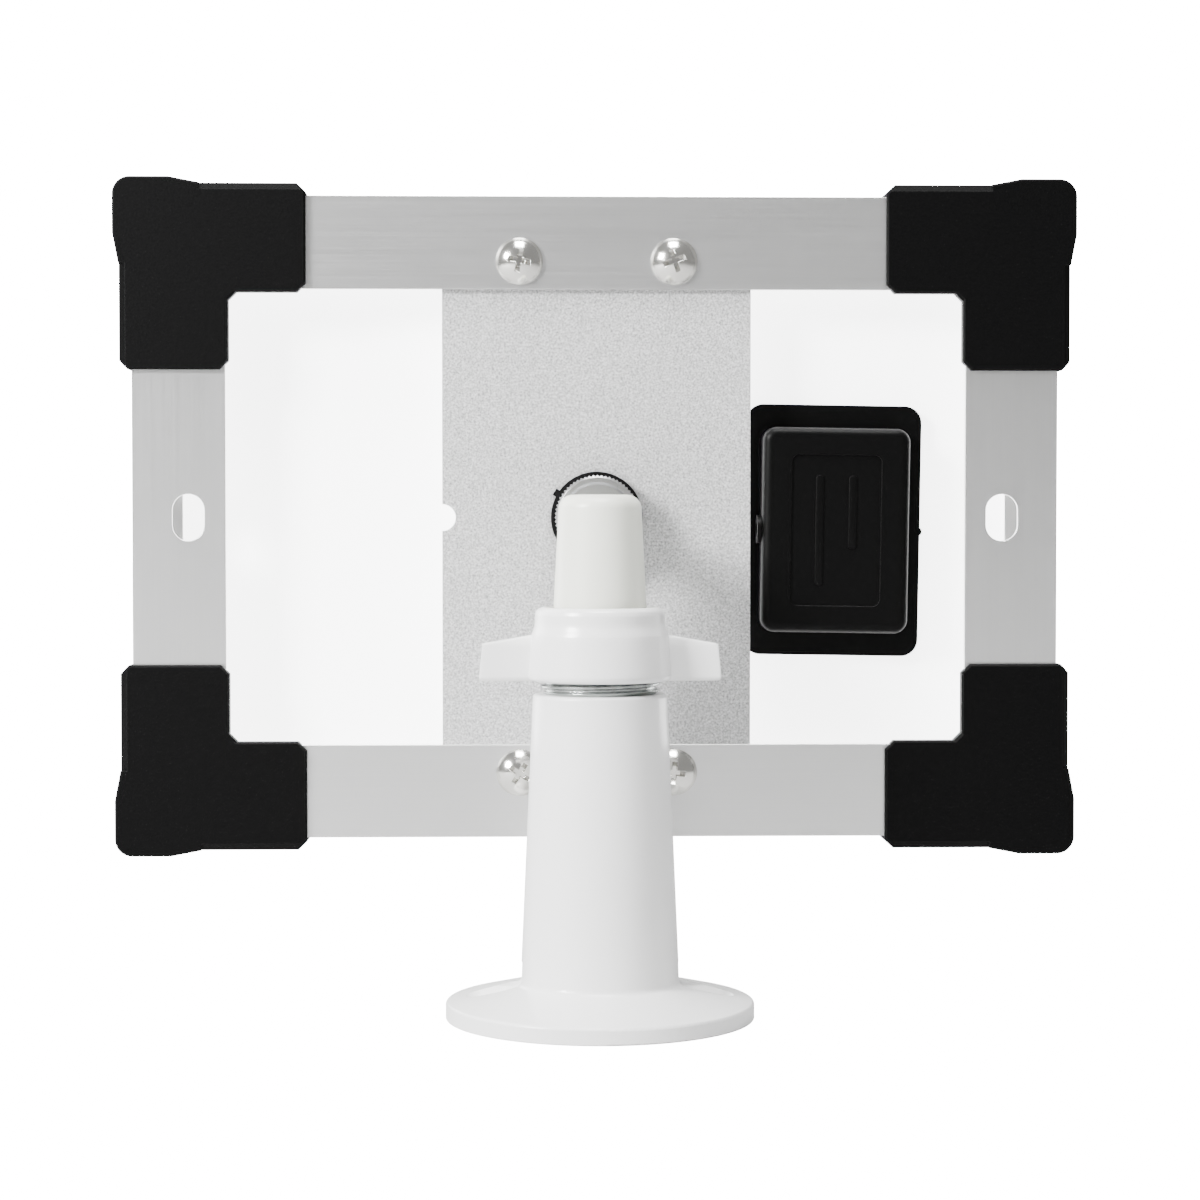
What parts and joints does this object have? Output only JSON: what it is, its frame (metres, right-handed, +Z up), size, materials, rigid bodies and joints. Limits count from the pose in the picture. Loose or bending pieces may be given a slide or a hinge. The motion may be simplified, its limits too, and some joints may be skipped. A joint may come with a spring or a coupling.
{
  "type": "solar charging panel on ball bracket",
  "caption": "Framed solar charging panel with a back plate and junction box, held on a round-based wall bracket with a clamped ball joint.",
  "frame": {"origin": "centre of the base's underside, midway between its two slots", "axes": "+Z up the post, +X along the two base slots and the panel's long side towards the junction box, +Y towards the glass face"},
  "size_m": [0.2078, 0.0765, 0.1768],
  "materials": {
    "white_paint": "gloss",
    "thread_steel": "satin",
    "nylon": "satin",
    "liner": "matte",
    "ivory_plastic": "satin",
    "zinc_steel": "satin",
    "nut_steel": "satin",
    "washer_rubber": "matte",
    "rail_aluminium": "satin",
    "galvanised_sheet": "matte",
    "nickel_screw": "polished",
    "cover_glass": "polished",
    "clear_encapsulant": "gloss",
    "silicon": "gloss",
    "tinned_ribbon": "satin",
    "white_backsheet": "satin",
    "sealant": "matte",
    "box_plastic": "satin",
    "circuit_board": "satin",
    "diode_epoxy": "satin",
    "clip_brass": "satin",
    "key_alloy": "matte",
    "guard_plastic": "matte"
  },
  "bodies": {
    "bracket": {"mounting_base_post": "white_paint", "threaded_neck": "thread_steel"},
    "seat": {"ball_seat": "nylon"},
    "pad": {"friction_pad": "liner"},
    "stem": {"ball_stem": "ivory_plastic", "mounting_stud": "zinc_steel"},
    "collar_ring": {"clamp_ring": "nylon"},
    "collar": {"wing_collar": "white_paint"},
    "washer": {"rubber_washer": "washer_rubber"},
    "lock_nut": {"knurled_lock_nut": "nut_steel"},
    "panel": {"top_rail": "rail_aluminium", "bottom_rail": "rail_aluminium", "left_rail": "rail_aluminium", "right_rail": "rail_aluminium", "back_plate": "galvanised_sheet", "plate_insert_nut": "zinc_steel", "plate_screws": "nickel_screw", "plate_nuts": "zinc_steel", "front_glass": "cover_glass", "encapsulant": "clear_encapsulant", "solar_cells": "silicon", "cell_ribbons": "tinned_ribbon", "bus_ribbons": "tinned_ribbon", "output_leads": "tinned_ribbon", "backsheet": "white_backsheet", "edge_seal": "sealant", "junction_box_base": "box_plastic", "junction_box_lid": "box_plastic", "adhesive_pad": "sealant", "terminal_board": "circuit_board", "blocking_diode": "diode_epoxy", "terminal_clips": "clip_brass", "cable_gland": "washer_rubber", "corner_key_top_left": "key_alloy", "corner_guard_top_left": "guard_plastic", "corner_key_top_right": "key_alloy", "corner_guard_top_right": "guard_plastic", "corner_key_bottom_left": "key_alloy", "corner_guard_bottom_left": "guard_plastic", "corner_key_bottom_right": "key_alloy", "corner_guard_bottom_right": "guard_plastic"}
  },
  "joints": [
    {"name": "ball_pan", "type": "hinge", "parent": "bracket", "child": "seat", "pos_m": [0, 0, 0.077], "axis": [0, 0, 1], "continuous": true},
    {"name": "ball_lean", "type": "hinge", "parent": "seat", "child": "pad", "pos_m": [0, 0, 0.077], "axis": [0, 1, 0], "range_deg": [-4, 4]},
    {"name": "ball_tilt", "type": "hinge", "parent": "pad", "child": "stem", "pos_m": [0, 0, 0.077], "axis": [1, 0, 0], "range_deg": [-8, 8]},
    {"name": "panel_spin", "type": "hinge", "parent": "stem", "child": "panel", "pos_m": [0, 0, 0.1037], "axis": [0, 1, 0], "range_deg": [-15, 15]},
    {"name": "washer_back_off", "type": "slide", "parent": "stem", "child": "washer", "axis": [0, -1, 0], "range_m": [0, 0.00053]},
    {"name": "lock_nut_turn", "type": "hinge", "parent": "washer", "child": "lock_nut", "pos_m": [0, 0, 0.1037], "axis": [0, -1, 0], "range_deg": [0, 151]},
    {"name": "collar_lift", "type": "slide", "parent": "bracket", "child": "collar_ring", "axis": [0, 0, 1], "range_m": [0, 0.0005]},
    {"name": "collar_turn", "type": "hinge", "parent": "collar_ring", "child": "collar", "pos_m": [0, 0, 0.077], "axis": [0, 0, 1], "range_deg": [0, 121]}
  ],
  "couplings": [
    {"joint": "collar_turn", "follows": "collar_lift", "rad_per_m": 4188.8},
    {"joint": "lock_nut_turn", "follows": "washer_back_off", "rad_per_m": 4947.4}
  ]
}
